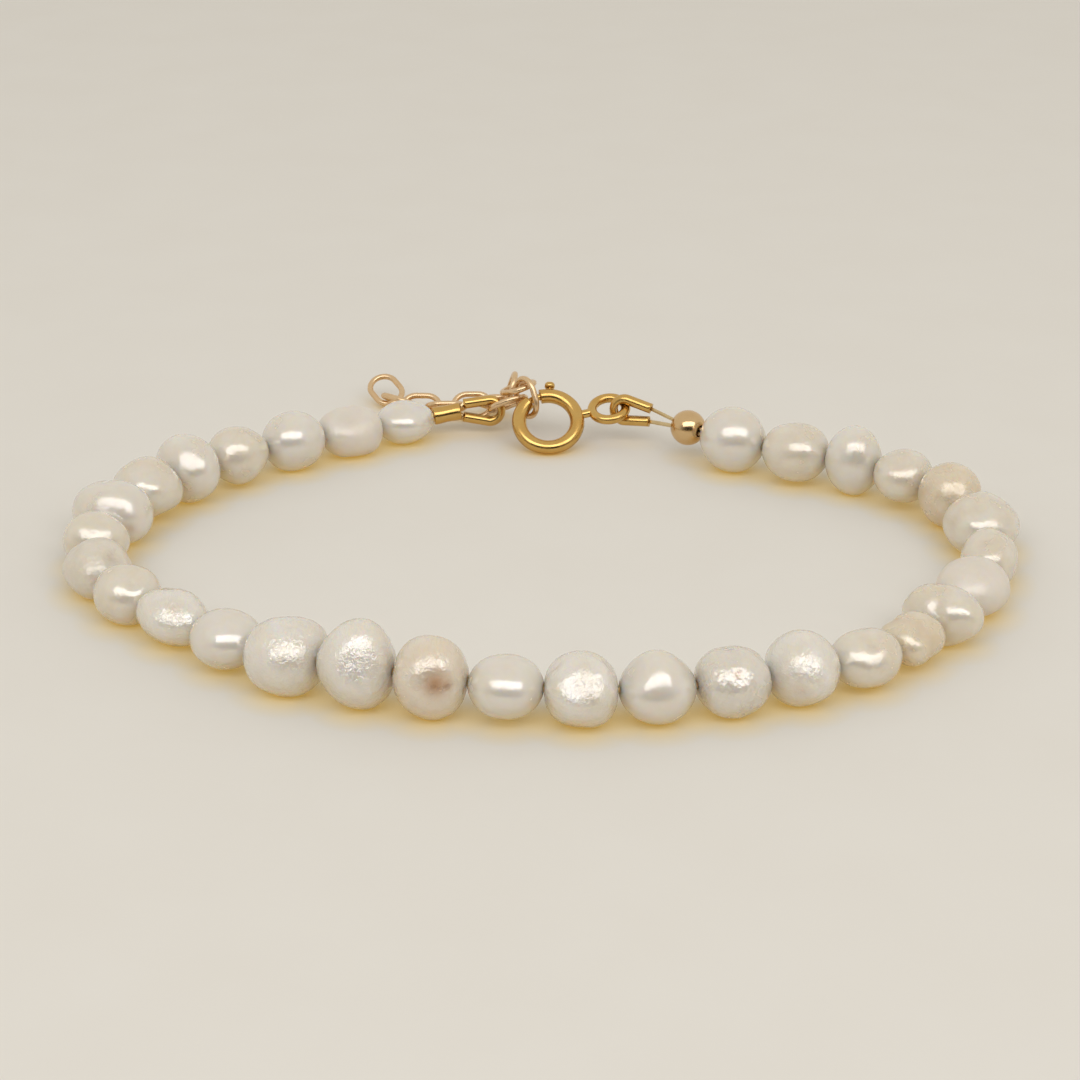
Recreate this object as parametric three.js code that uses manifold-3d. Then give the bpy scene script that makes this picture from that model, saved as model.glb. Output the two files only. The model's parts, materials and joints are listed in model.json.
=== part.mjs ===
// A baroque pearl bracelet, closed and laid on a table in a loose oval.
// Thirty-one drilled freshwater pearls sit on a steel bead wire. Each end of the wire turns back
// round a small horseshoe guard. The left end is squeezed in a crimp tube and carries a chain of
// oval links, the right end goes through a round crimp cover and holds a sprung ring clasp, and
// the clasp is hooked into the second link of the chain.
// Millimetres, +Z up. X runs along the oval, and the clasp lies at the back, on the +Y side.

import * as THREE from "three";
import { mergeVertices } from "three/addons/utils/BufferGeometryUtils.js";
import Module from "manifold-3d";

const wasm = await Module();
wasm.setup();

// The string of pearls.
const pearlSize = 5.1;
const beadGap = 0.14;
const drillRadius = 0.46;
const drillWall = 0.1;
const wireRadius = 0.17;
const tableFlat = 0.06;
const footRise = 0.26;
const stringSag = 0.12;

// The findings at the two ends.
const ballRadius = 1.45;
const ballBore = 0.56;
const crimpLength = 2.3;
const crimpRadius = 0.75;
const crimpBore = 0.5;
const crimpBevel = 0.12;
const strandOffset = 0.21;
const guardRadius = 0.43;
const guardWall = 0.13;
const guardArch = 0.9;
const guardLegEnd = 0.55;
const guardLegLength = 2.2;
const guardStandoff = 0.3;
const guardInLoop = 0.48;
const guardShutAngle = 10;
const guardOpenAngle = 62;
const wireInBall = 0.25;
const wireInCrimp = 0.15;

// The sprung ring clasp.
const ringRadius = 2.42;
const ringTube = 0.6;
const ringBore = 0.38;
const boltRadius = 0.28;
const claspLoopRadius = 1.4;
const claspLoopTube = 0.4;
const claspNeck = 0.5;
const claspNeckRadius = 0.36;
const mouthFrom = 92;
const mouthTo = 118;
const boreFrom = 0;
const boreTo = 124;
const boltFrom = 36;
const boltTo = 121;
const knobAt = 74;
const knobTravel = 31;
const knobStem = 0.17;
const knobRadius = 0.42;
const knobHeight = 0.5;
const slotWidth = 0.5;
const slotDepth = 1.1;
const slotMargin = 5;
const knobClearance = 0.12;
const stemInKnob = 0.18;
const solderSink = 0.1;
const neckSink = 0.15;

// The chain. Its second link holds the clasp's ring at an angle round the ring, and that spot
// lies aside and forward of the left guard's tip by shares of linkLength.
const linkLength = 3.7;
const linkWidth = 2.8;
const linkWire = 0.25;
const hookAngle = 118;
const hookShares = [0.646, -0.362];

// Turned directions, in degrees from the table.
const claspTilt = 40;
const claspLoopTilt = 18;
const guardTilt = 80;

// The ways the findings point, from the left end of the string to the right end.
const crimpHeading = [1, 0.2, 0.13];
const leftGuardHeading = [1, 0.02, -0.02];
const claspHeading = [5.1, 1, 0.75];
const rightGuardHeading = [0.95, -0.31, -0.09];

// Plan points of the string from the crimp tube round to the crimp cover, as shares of the
// oval's reach. The reach follows from the pearls, so that they fill the string.
const routeShares = [
  [-0.265, 0.607],
  [-0.331, 0.574],
  [-0.606, 0.396],
  [-0.845, 0.196],
  [-0.965, -0.031],
  [-0.953, -0.292],
  [-0.736, -0.528],
  [-0.474, -0.735],
  [-0.179, -0.824],
  [0.119, -0.85],
  [0.424, -0.793],
  [0.689, -0.68],
  [0.849, -0.473],
  [0.988, -0.207],
  [0.941, 0.079],
  [0.733, 0.265],
  [0.454, 0.389],
  [0.39, 0.439],
];

// One row for each link of the chain, from the left guard to its free end: the place of its
// middle from the left guard's tip as shares of linkLength, then the way its long axis points
// and the way its face looks.
const linkRows = [
  [0.161, -0.020, 0.179, 0.896, -0.135, 0.423, -0.299, 0.522, 0.799],
  [0.587, -0.290, 0.438, -0.257, 0.413, 0.874, -0.767, -0.637, 0.075],
  [0.402, 0.150, 0.504, -0.499, 0.787, -0.363, -0.343, 0.206, 0.917],
  [0.212, 0.664, 0.228, -0.234, 0.465, -0.854, -0.962, 0.014, 0.271],
  [-0.136, 0.963, -0.174, -0.848, 0.449, -0.281, 0.088, 0.643, 0.761],
  [-0.668, 1.025, -0.290, -1.000, -0.012, -0.009, 0.000, -0.591, 0.807],
  [-1.270, 0.975, -0.296, -0.999, -0.035, 0.000, -0.020, 0.572, 0.820],
  [-1.860, 0.975, -0.299, -0.993, 0.111, -0.027, -0.084, -0.549, 0.831],
  [-2.343, 1.328, -0.302, -0.792, 0.610, -0.021, 0.320, 0.443, 0.837],
  [-2.704, 1.827, -0.225, -0.553, 0.751, 0.360, -0.093, -0.485, 0.870],
];

// One row for each pearl: its length along the string, its width and its height as shares of
// pearlSize, then how much fuller its far end is, how square its ends are, how far its top is
// drawn to a point, how deep its waist is, how lumpy it is and how far round the lumps start.
const pearlRows = [
  [0.95, 0.9, 0.71, 0.05, 2.0, 0.0, 0.0, 0.03, 0.4],
  [1.03, 0.98, 0.83, -0.08, 2.5, -0.06, 0.0, 0.04, 1.9],
  [0.99, 1.0, 0.97, 0.0, 2.2, 0.0, 0.0, 0.02, 0.2],
  [0.99, 0.98, 0.9, 0.1, 2.0, 0.08, 0.0, 0.05, 2.6],
  [0.89, 1.16, 1.1, 0.03, 2.1, 0.0, 0.0, 0.04, 1.1],
  [0.91, 1.05, 0.96, -0.08, 2.3, 0.03, 0.03, 0.08, 0.7],
  [0.91, 1.23, 1.03, 0.0, 2.2, -0.03, 0.0, 0.06, 2.2],
  [0.83, 1.0, 0.9, 0.05, 2.0, 0.0, 0.0, 0.05, 0.9],
  [1.01, 0.96, 0.84, -0.06, 2.3, 0.04, 0.04, 0.09, 1.5],
  [0.95, 0.94, 0.86, 0.04, 2.2, 0.0, 0.0, 0.05, 0.3],
  [1.09, 0.88, 0.79, -0.04, 2.2, 0.0, 0.0, 0.07, 2.9],
  [1.03, 0.98, 0.82, 0.0, 2.1, 0.0, 0.0, 0.02, 1.2],
  [1.08, 1.12, 1.08, 0.06, 2.4, -0.03, 0.0, 0.06, 0.6],
  [1.04, 1.1, 1.24, 0.1, 2.1, 0.08, 0.0, 0.05, 2.4],
  [0.97, 1.0, 1.16, -0.03, 2.3, -0.02, 0.0, 0.05, 1.7],
  [0.98, 0.98, 0.85, 0.0, 2.2, 0.0, 0.0, 0.02, 0.1],
  [0.95, 1.05, 1.02, 0.03, 2.6, -0.02, 0.0, 0.06, 2.0],
  [1.02, 1.02, 0.96, 0.0, 2.1, 0.14, 0.0, 0.04, 1.4],
  [0.97, 1.0, 0.92, 0.0, 2.4, 0.0, 0.0, 0.06, 0.8],
  [0.96, 1.1, 1.03, -0.03, 2.2, 0.0, 0.0, 0.05, 2.7],
  [0.99, 0.92, 0.8, 0.05, 2.2, 0.0, 0.03, 0.06, 1.0],
  [0.89, 0.88, 0.7, 0.0, 2.4, -0.05, 0.15, 0.05, 0.5],
  [0.86, 1.14, 0.86, -0.12, 2.2, 0.0, 0.0, 0.08, 2.3],
  [1.07, 1.05, 0.83, 0.06, 2.3, 0.03, 0.0, 0.03, 1.6],
  [1.06, 0.8, 0.8, -0.05, 2.2, 0.0, 0.0, 0.06, 0.2],
  [1.06, 1.08, 0.92, 0.05, 2.3, 0.0, 0.0, 0.08, 1.8],
  [1.0, 0.95, 1.03, 0.0, 2.1, 0.0, 0.0, 0.03, 2.8],
  [0.87, 0.98, 0.86, 0.0, 2.2, 0.0, 0.0, 0.05, 0.6],
  [0.85, 0.86, 1.12, 0.0, 2.3, 0.03, 0.0, 0.05, 1.3],
  [1.04, 0.98, 0.94, -0.05, 2.2, 0.0, 0.0, 0.03, 2.5],
  [1.06, 1.02, 1.08, 0.03, 2.1, 0.0, 0.0, 0.02, 0.9],
];

// The pearls with their own sizes in millimetres.
const pearls = pearlRows.map(
  ([length, width, height, taper, square, peak, waist, lump, phase]) => ({
    length: length * pearlSize,
    halfWidth: (width * pearlSize) / 2,
    halfHeight: (height * pearlSize) / 2,
    taper,
    square,
    peak,
    waist,
    lump,
    phase,
  })
);

const steel = { color: 0xb9a06a, roughness: 0.35, metalness: 1 };
const gold = { color: 0xd9a441, roughness: 0.22, metalness: 1 };
const nacre = { color: 0xe9e0d2, roughness: 0.28, metalness: 0 };

const up = new THREE.Vector3(0, 0, 1);
const bracelet = new THREE.Group();

function degrees(angle) {
  return (angle * Math.PI) / 180;
}

function along(point, direction, distance) {
  return point.clone().addScaledVector(direction, distance);
}

// A closed skin over rings of points. The last ring joins the first, or both ends are capped.
function skin(rings, closed, capOutline) {
  const sides = rings[0].length;
  const triangles = [];
  const spans = closed ? rings.length : rings.length - 1;
  for (let r = 0; r < spans; r += 1) {
    const here = r * sides;
    const next = ((r + 1) % rings.length) * sides;
    for (let s = 0; s < sides; s += 1) {
      const t = (s + 1) % sides;
      triangles.push(here + s, here + t, next + t, here + s, next + t, next + s);
    }
  }
  if (!closed) {
    const last = (rings.length - 1) * sides;
    for (const [a, b, c] of THREE.ShapeUtils.triangulateShape(capOutline, [])) {
      triangles.push(c, b, a, last + a, last + b, last + c);
    }
  }
  const geometry = new THREE.BufferGeometry();
  const positions = rings.flat().flatMap((point) => point.toArray());
  geometry.setAttribute("position", new THREE.Float32BufferAttribute(positions, 3));
  geometry.setIndex(triangles);
  return geometry;
}

// Rings of an outline carried along a line of points without twisting. The outline's x runs
// along the carried normal, and outlineAt gives it for a share of the way along the line.
function sweep(points, startNormal, outlineAt, closed) {
  const count = points.length;
  const normal = startNormal.clone();
  const rings = points.map((point, i) => {
    const before = closed ? points[(i + count - 1) % count] : points[Math.max(i - 1, 0)];
    const after = closed ? points[(i + 1) % count] : points[Math.min(i + 1, count - 1)];
    const tangent = after.clone().sub(before).normalize();
    normal.addScaledVector(tangent, -normal.dot(tangent)).normalize();
    const side = tangent.clone().cross(normal);
    return outlineAt(i / (count - 1)).map((corner) =>
      along(along(point, normal, corner.x), side, corner.y)
    );
  });
  return skin(rings, closed, outlineAt(0));
}

function circleOutline(radius, sides) {
  return Array.from({ length: sides }, (unused, i) => {
    const angle = (2 * Math.PI * (i + 0.5)) / sides;
    return new THREE.Vector2(radius * Math.cos(angle), radius * Math.sin(angle));
  });
}

function boxOutline(width, height) {
  return [
    new THREE.Vector2(width / 2, height / 2),
    new THREE.Vector2(-width / 2, height / 2),
    new THREE.Vector2(-width / 2, -height / 2),
    new THREE.Vector2(width / 2, -height / 2),
  ];
}

function tube(points, startNormal, radius, sides, closed) {
  return sweep(points, startNormal, () => circleOutline(radius, sides), closed);
}

function addPiece(name, geometry, look) {
  const piece = new THREE.Mesh(geometry, new THREE.MeshStandardMaterial(look));
  piece.name = name;
  bracelet.add(piece);
}

function solidOf(geometry) {
  const bare = geometry.clone();
  bare.deleteAttribute("normal");
  bare.deleteAttribute("uv");
  const merged = mergeVertices(bare, 1e-5);
  const vertProperties = new Float32Array(merged.attributes.position.array);
  const triVerts = new Uint32Array(merged.index.array);
  return new wasm.Manifold(new wasm.Mesh({ numProp: 3, vertProperties, triVerts }));
}

function geometryOf(solid) {
  const mesh = solid.getMesh();
  const geometry = new THREE.BufferGeometry();
  const positions = new THREE.Float32BufferAttribute(mesh.vertProperties, mesh.numProp);
  geometry.setAttribute("position", positions);
  geometry.setIndex(Array.from(mesh.triVerts));
  return geometry;
}

// Two directions square to an axis: the second leans up and back by a tilt from the table.
function leaningFrame(axis, tilt) {
  const first = axis.clone().normalize();
  const lean = new THREE.Vector3(0, Math.cos(degrees(tilt)), Math.sin(degrees(tilt)));
  const second = lean.addScaledVector(first, -lean.dot(first)).normalize();
  return { first, second, normal: first.clone().cross(second) };
}

// A point at an angle round a centre, in the plane of a frame's two directions.
function onCircle(centre, frame, radius, angle) {
  const reach = along(centre, frame.first, radius * Math.cos(degrees(angle)));
  return along(reach, frame.second, radius * Math.sin(degrees(angle)));
}

function arcPoints(centre, frame, radius, from, to, steps) {
  return Array.from({ length: steps + 1 }, (unused, i) =>
    onCircle(centre, frame, radius, from + ((to - from) * i) / steps)
  );
}

function circlePoints(centre, frame, radius, steps) {
  return arcPoints(centre, frame, radius, 0, 360, steps).slice(0, steps);
}

// The drill axis height at each pearl: half its own height, or a little under its neighbours
// where the stiff string lifts it.
function axisHeights() {
  const rest = pearls.map((pearl) => pearl.halfHeight - tableFlat);
  const heights = rest.slice();
  for (let pass = 0; pass < 40; pass += 1) {
    for (let i = 1; i < heights.length - 1; i += 1) {
      const carried = (heights[i - 1] + heights[i + 1]) / 2 - stringSag;
      heights[i] = Math.max(rest[i], carried);
    }
  }
  return heights;
}

// The joints of the string: one at each end and one between every two pearls, so that each
// pearl's straight drill hole runs from joint to joint.
function stringJoints(heights) {
  const plan = routeShares.map(([x, y]) => new THREE.Vector3(x, y, 0));
  const route = new THREE.CatmullRomCurve3(plan, false, "centripetal");
  route.arcLengthDivisions = 2000;
  const lengths = pearls.map((pearl) => pearl.length + beadGap);
  const total = lengths.reduce((sum, length) => sum + length, 0);
  const reach = total / route.getLength();
  const joints = [];
  let travelled = 0;
  for (let i = 0; i <= lengths.length; i += 1) {
    const joint = route.getPointAt(Math.min(travelled / total, 1)).multiplyScalar(reach);
    const before = heights[Math.max(i - 1, 0)];
    const after = heights[Math.min(i, heights.length - 1)];
    joint.z = (before + after) / 2;
    joints.push(joint);
    travelled += lengths[i] ?? 0;
  }
  return joints;
}

// How far a pearl's skin stands out, as a share of its half width and half height. The share
// way runs from -1 at one drill end to 1 at the other, and turn runs round the string.
function pearlFullness(pearl, way, turn) {
  const { taper, square, peak, waist, lump, phase } = pearl;
  const profile = (1 - Math.abs(way) ** square) ** (1 / square);
  const fuller = 1 + taper * way;
  const pointed = 1 + peak * Math.max(0, Math.sin(turn)) ** 4 * (1 - way * way);
  const pinched = 1 - waist * Math.exp(-((way / 0.35) ** 2));
  const waves = Math.sin(2 * turn + phase) + Math.sin(3 * turn - 2 * way + 2 * phase);
  return profile * fuller * pointed * pinched * (1 + (lump * waves) / 2);
}

// A drilled pearl between two joints. What comes within footRise of the table is flat on it.
function pearlGeometry(pearl, from, to, height) {
  const axis = to.clone().sub(from).normalize();
  const side = up.clone().cross(axis).normalize();
  const above = axis.clone().cross(side);
  const middle = from.clone().add(to).multiplyScalar(0.5);
  const halfLength = from.distanceTo(to) / 2 - beadGap / 2;
  const narrowest = drillRadius + drillWall;
  const lift = height - middle.z;
  const ringAngles = [-90, -68, -45, -22, 0, 22, 45, 68, 90];
  const turns = 14;
  const startTurn = Math.PI / 2 + Math.PI / turns;
  const rings = ringAngles.map((angle) => {
    const way = Math.sin(degrees(angle));
    const atEnd = Math.abs(angle) === 90;
    const centre = along(middle, axis, way * halfLength);
    if (!atEnd) {
      centre.z += lift * Math.cos(degrees(angle));
    }
    return Array.from({ length: turns }, (unused, i) => {
      const turn = startTurn + (2 * Math.PI * i) / turns;
      const full = atEnd ? 0 : pearlFullness(pearl, way, turn);
      const across = atEnd ? drillRadius : Math.max(pearl.halfWidth * full, narrowest);
      const high = atEnd ? drillRadius : Math.max(pearl.halfHeight * full, narrowest);
      const point = along(centre, side, across * Math.cos(turn));
      point.addScaledVector(above, high * Math.sin(turn));
      point.z = point.z < footRise ? 0 : point.z;
      return point;
    });
  });
  return skin(rings, true);
}

// A round drilled ball or tube along an axis, from a profile of stations and radii.
function turnedPiece(centre, axis, profile, sides) {
  const aside = up.clone().addScaledVector(axis, -up.dot(axis)).normalize();
  const across = axis.clone().cross(aside);
  const rings = profile.map(([station, radius]) =>
    circleOutline(radius, sides).map((corner) => {
      const point = along(centre, axis, station);
      return along(along(point, aside, corner.x), across, corner.y);
    })
  );
  return skin(rings, true);
}

function ballProfile() {
  const rim = Math.asin(ballBore / ballRadius);
  const steps = 8;
  const stations = [];
  for (let i = 0; i <= steps; i += 1) {
    const angle = rim + ((Math.PI - 2 * rim) * i) / steps;
    stations.push([-ballRadius * Math.cos(angle), ballRadius * Math.sin(angle)]);
  }
  return stations;
}

function crimpProfile() {
  const half = crimpLength / 2;
  return [
    [-half, crimpBore],
    [-half, crimpRadius - crimpBevel],
    [-half + crimpBevel, crimpRadius],
    [half - crimpBevel, crimpRadius],
    [half, crimpRadius - crimpBevel],
    [half, crimpBore],
  ];
}

// The centre line of a horseshoe guard from its lower leg round the arch to its upper leg.
// The tip is the middle of the arch.
function guardLine(tip, foot) {
  const frame = leaningFrame(tip.clone().sub(foot), guardTilt);
  const centre = along(tip, frame.first, -guardArch);
  const legEnd = (sign) => {
    const down = along(centre, frame.first, -guardLegLength);
    return along(down, frame.second, sign * guardLegEnd);
  };
  const arch = arcPoints(centre, frame, guardArch, -90, 90, 8);
  const lower = legEnd(-1);
  const upper = legEnd(1);
  const lowerHalf = lower.clone().lerp(arch[0], 0.5);
  const upperHalf = upper.clone().lerp(arch[arch.length - 1], 0.5);
  return { points: [lower, lowerHalf, ...arch, upperHalf, upper], frame };
}

// A channel round the wire: nearly shut on the legs and open outwards over the arch.
function guardOutline(share) {
  const overArch = Math.sin(Math.PI * share) ** 2;
  const half = guardShutAngle + (guardOpenAngle - guardShutAngle) * overArch;
  const steps = 7;
  const outline = [];
  for (const [radius, forward] of [[guardRadius, true], [guardRadius - guardWall, false]]) {
    for (let i = 0; i <= steps; i += 1) {
      const way = forward ? i / steps : 1 - i / steps;
      const angle = degrees(-90 + half + (360 - 2 * half) * way);
      outline.push(new THREE.Vector2(radius * Math.cos(angle), radius * Math.sin(angle)));
    }
  }
  return outline;
}

function guardGeometry(line) {
  return sweep(line.points, line.frame.normal, guardOutline, false);
}

// An oval link: two half circles joined by straight sides, round a centre in a frame's plane.
function linkPoints(centre, frame) {
  const radius = linkWidth / 2 - linkWire;
  const straight = linkLength / 2 - linkWidth / 2;
  const head = along(centre, frame.first, straight);
  const tail = along(centre, frame.first, -straight);
  return [
    ...arcPoints(head, frame, radius, -90, 90, 6),
    ...arcPoints(tail, frame, radius, 90, 270, 6),
  ];
}

const heights = axisHeights();
const joints = stringJoints(heights);
const firstJoint = joints[0];
const lastJoint = joints[joints.length - 1];

// The left end: the crimp tube close to the first pearl, and the guard close to the tube.
const crimpAxis = new THREE.Vector3(...crimpHeading).normalize();
const crimpCentre = along(firstJoint, crimpAxis, beadGap + crimpLength / 2);
const leftFoot = along(crimpCentre, crimpAxis, crimpLength / 2 + guardStandoff);
const leftGuardAxis = new THREE.Vector3(...leftGuardHeading).normalize();
const leftTip = along(leftFoot, leftGuardAxis, guardLegLength + guardArch);
const leftGuard = guardLine(leftTip, leftFoot);

// The clasp: its ring lies on the table and passes through the chain's second link, and its
// soldered loop points on along the string.
const claspFrame = leaningFrame(new THREE.Vector3(...claspHeading), claspTilt);
const claspLoopFrame = leaningFrame(claspFrame.first, claspLoopTilt);
const claspDip = Math.hypot(claspFrame.first.z, claspFrame.second.z);
const hookFromCentre = onCircle(new THREE.Vector3(), claspFrame, ringRadius, hookAngle);
const claspCentre = new THREE.Vector3(
  leftTip.x + hookShares[0] * linkLength - hookFromCentre.x,
  leftTip.y + hookShares[1] * linkLength - hookFromCentre.y,
  ringRadius * claspDip + ringTube
);
const claspLoopReach = ringRadius + ringTube + claspNeck + claspLoopRadius + claspLoopTube;
const claspLoopCentre = along(claspCentre, claspFrame.first, claspLoopReach - solderSink);

function claspSweep(from, to, outline, steps) {
  const points = arcPoints(claspCentre, claspFrame, ringRadius, from, to, steps);
  return solidOf(sweep(points, claspFrame.normal, () => outline, false));
}

function rodBetween(from, to, radius, sides) {
  return solidOf(tube([from, to], claspFrame.normal, radius, sides, false));
}

// The hollow ring with its soldered loop, cut open at the mouth and slotted for the knob.
function claspRing() {
  const hoop = circlePoints(claspCentre, claspFrame, ringRadius, 30);
  const loop = circlePoints(claspLoopCentre, claspLoopFrame, claspLoopRadius, 16);
  const neckFrom = onCircle(claspCentre, claspFrame, ringRadius + ringTube - neckSink, 0);
  const neckTo = along(claspLoopCentre, claspFrame.first, -claspLoopRadius);
  const slotFrom = knobAt - knobTravel - slotMargin;
  const slotTo = knobAt + slotMargin;
  const slotPoints = arcPoints(
    claspCentre, claspFrame, ringRadius + ringTube, slotFrom, slotTo, 6
  );
  const slotBox = boxOutline(slotWidth, slotDepth);
  const slot = sweep(slotPoints, claspFrame.normal, () => slotBox, false);
  const wide = 3 * ringTube;
  return solidOf(tube(hoop, claspFrame.normal, ringTube, 10, true))
    .subtract(claspSweep(boreFrom, boreTo, circleOutline(ringBore, 8), 18))
    .subtract(claspSweep(mouthFrom, mouthTo, boxOutline(wide, wide), 4))
    .subtract(solidOf(slot))
    .add(rodBetween(neckFrom, neckTo, claspNeckRadius, 8))
    .add(solidOf(tube(loop, claspLoopFrame.normal, claspLoopTube, 8, true)));
}

// The sprung bolt inside the ring, with the knob that a fingernail pulls.
function claspTrigger() {
  const knobStart = ringRadius + ringTube + knobClearance;
  const stemFoot = onCircle(claspCentre, claspFrame, ringRadius, knobAt);
  const stemHead = onCircle(claspCentre, claspFrame, knobStart + stemInKnob, knobAt);
  const knobFoot = onCircle(claspCentre, claspFrame, knobStart, knobAt);
  const knobTop = onCircle(claspCentre, claspFrame, knobStart + knobHeight, knobAt);
  return claspSweep(boltFrom, boltTo, circleOutline(boltRadius, 8), 12)
    .add(rodBetween(stemFoot, stemHead, knobStem, 8))
    .add(rodBetween(knobFoot, knobTop, knobRadius, 10));
}

pearls.forEach((pearl, i) => {
  const name = `pearl_${String(i + 1).padStart(2, "0")}`;
  addPiece(name, pearlGeometry(pearl, joints[i], joints[i + 1], heights[i]), nacre);
});

// The right end: the string, the crimp cover, and the guard through the clasp's loop.
const rightTip = along(claspLoopCentre, claspFrame.first, guardInLoop);
const rightGuardAxis = new THREE.Vector3(...rightGuardHeading).normalize();
const rightFoot = along(rightTip, rightGuardAxis, guardLegLength + guardArch);
const rightAxis = rightFoot.clone().sub(lastJoint).normalize();
const ballCentre = along(lastJoint, rightAxis, beadGap + ballRadius);
const rightGuard = guardLine(rightTip, rightFoot);

// The two strands beside each other inside a crimp, at one station of its axis.
function strandPoint(centre, axis, guard, station, sign) {
  return along(along(centre, axis, station), guard.frame.second, sign * strandOffset);
}

const ballInside = ballRadius - wireInBall;
const crimpInside = crimpLength / 2 - wireInCrimp;
const wirePoints = [
  strandPoint(ballCentre, rightAxis, rightGuard, -ballInside, -1),
  strandPoint(ballCentre, rightAxis, rightGuard, ballInside, -1),
  ...rightGuard.points,
  strandPoint(ballCentre, rightAxis, rightGuard, ballInside, 1),
  strandPoint(ballCentre, rightAxis, rightGuard, -ballInside, 1),
  ...joints.slice().reverse(),
  strandPoint(crimpCentre, crimpAxis, leftGuard, -crimpInside, 1),
  strandPoint(crimpCentre, crimpAxis, leftGuard, crimpInside, 1),
  ...leftGuard.points.slice().reverse(),
  strandPoint(crimpCentre, crimpAxis, leftGuard, crimpInside, -1),
  strandPoint(crimpCentre, crimpAxis, leftGuard, -crimpInside, -1),
];

addPiece("bead_wire", tube(wirePoints, up, wireRadius, 6, false), steel);
addPiece("crimp_tube", turnedPiece(crimpCentre, crimpAxis, crimpProfile(), 14), gold);
addPiece("crimp_cover", turnedPiece(ballCentre, rightAxis, ballProfile(), 16), gold);
addPiece("wire_guard_left", guardGeometry(leftGuard), gold);
addPiece("wire_guard_right", guardGeometry(rightGuard), gold);
addPiece("clasp_ring", geometryOf(claspRing()), gold);
addPiece("clasp_trigger", geometryOf(claspTrigger()), gold);

linkRows.forEach(([right, back, rise, ...directions], i) => {
  const centre = along(leftTip, new THREE.Vector3(right, back, rise), linkLength);
  const axis = new THREE.Vector3(...directions.slice(0, 3)).normalize();
  const face = new THREE.Vector3(...directions.slice(3));
  const second = face.cross(axis).normalize();
  const frame = { first: axis, second, normal: axis.clone().cross(second) };
  const line = linkPoints(centre, frame);
  addPiece(`chain_link_${i + 1}`, tube(line, frame.normal, linkWire, 6, true), gold);
});

// The part's own origin: under the middle of its box, on the table.
const box = new THREE.Box3().setFromObject(bracelet);
const middle = box.getCenter(new THREE.Vector3());
for (const piece of bracelet.children) {
  piece.geometry.translate(-middle.x, -middle.y, -box.min.z);
}

export default bracelet;
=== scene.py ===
# %% [markdown]
# # A baroque pearl bracelet
#
# The real piece is a string of thirty-one freshwater pearls. No two are alike: each one grew
# freely inside a mussel, so it is dented, drawn out or wrinkled, and only its lustre is even.
# The pearls are drilled and threaded on a fine gilded wire. The wire turns back round a small
# metal guard at each end, and the two ends close with a spring ring clasp hooked into a short
# chain. It lies closed on a pale table, seen from a little above.
#
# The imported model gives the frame: every pearl and finding is already there in plain form, and
# this script gives each its fine surface and its material.

# %% The frame
import json
import math

import bmesh
import bpy
import numpy as np
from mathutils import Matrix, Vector
from mathutils.bvhtree import BVHTree


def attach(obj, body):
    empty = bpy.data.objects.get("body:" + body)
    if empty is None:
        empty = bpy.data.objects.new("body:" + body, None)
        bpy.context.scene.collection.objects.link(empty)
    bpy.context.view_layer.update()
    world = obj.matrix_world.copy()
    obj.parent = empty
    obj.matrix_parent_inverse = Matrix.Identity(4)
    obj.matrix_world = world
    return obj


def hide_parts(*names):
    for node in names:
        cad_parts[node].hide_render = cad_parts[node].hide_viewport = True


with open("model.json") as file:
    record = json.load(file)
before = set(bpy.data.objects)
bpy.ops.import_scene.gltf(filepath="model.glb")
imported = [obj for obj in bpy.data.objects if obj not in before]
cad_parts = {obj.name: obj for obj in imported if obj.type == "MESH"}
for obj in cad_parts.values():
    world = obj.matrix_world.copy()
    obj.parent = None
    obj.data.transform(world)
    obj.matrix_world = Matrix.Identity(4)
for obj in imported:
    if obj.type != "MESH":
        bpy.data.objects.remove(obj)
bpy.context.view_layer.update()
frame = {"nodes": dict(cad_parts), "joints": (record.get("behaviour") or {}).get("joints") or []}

scene = bpy.context.scene
nodes = frame["nodes"]
pearl_names = sorted(name for name in nodes if name.startswith("pearl_"))
link_names = sorted(name for name in nodes if name.startswith("chain_link_"))

# %% [markdown]
# ## Small helpers
#
# Colours are written as sRGB hex, as a colour picker shows them, and turned into the linear
# values that light is computed with. One helper adds a node to any tree and sets its inputs, so
# that every tree below reads as a list of what it does.

# %% Helpers
MM = 0.001


def linear(hex_colour):
    """An sRGB hex colour as linear red, green, blue and alpha."""
    channels = [int(hex_colour[i:i + 2], 16) / 255 for i in (1, 3, 5)]
    bent = [c / 12.92 if c <= 0.04045 else ((c + 0.055) / 1.055) ** 2.4 for c in channels]
    return (*bent, 1.0)


def add_node(tree, kind, inputs=None, **settings):
    """A new node with its settings and inputs. An input is a value or another node's socket."""
    node = tree.nodes.new(kind)
    for name, value in settings.items():
        setattr(node, name, value)
    for name, value in (inputs or {}).items():
        socket = node.inputs[name]
        if isinstance(value, bpy.types.NodeSocket):
            tree.links.new(value, socket)
        else:
            socket.default_value = value
    return node


def add_math(tree, operation, first, second):
    """The result of one sum on two values or sockets."""
    node = add_node(tree, "ShaderNodeMath", {0: first, 1: second}, operation=operation)
    return node.outputs[0]


def mesh_object(name, points, faces, smooth=True):
    """A new object at the origin, from points in metres and faces by index."""
    mesh = bpy.data.meshes.new(name)
    mesh.from_pydata([tuple(p) for p in points], [], [tuple(f) for f in faces])
    mesh.polygons.foreach_set("use_smooth", [smooth] * len(mesh.polygons))
    obj = bpy.data.objects.new(name, mesh)
    scene.collection.objects.link(obj)
    return obj


def bake_modifiers(obj):
    """The object's shape after its modifiers becomes its mesh, and the modifiers go."""
    bpy.context.view_layer.update()
    graph = bpy.context.evaluated_depsgraph_get()
    fine = bpy.data.meshes.new_from_object(obj.evaluated_get(graph))
    obj.modifiers.clear()
    obj.data = fine


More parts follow.
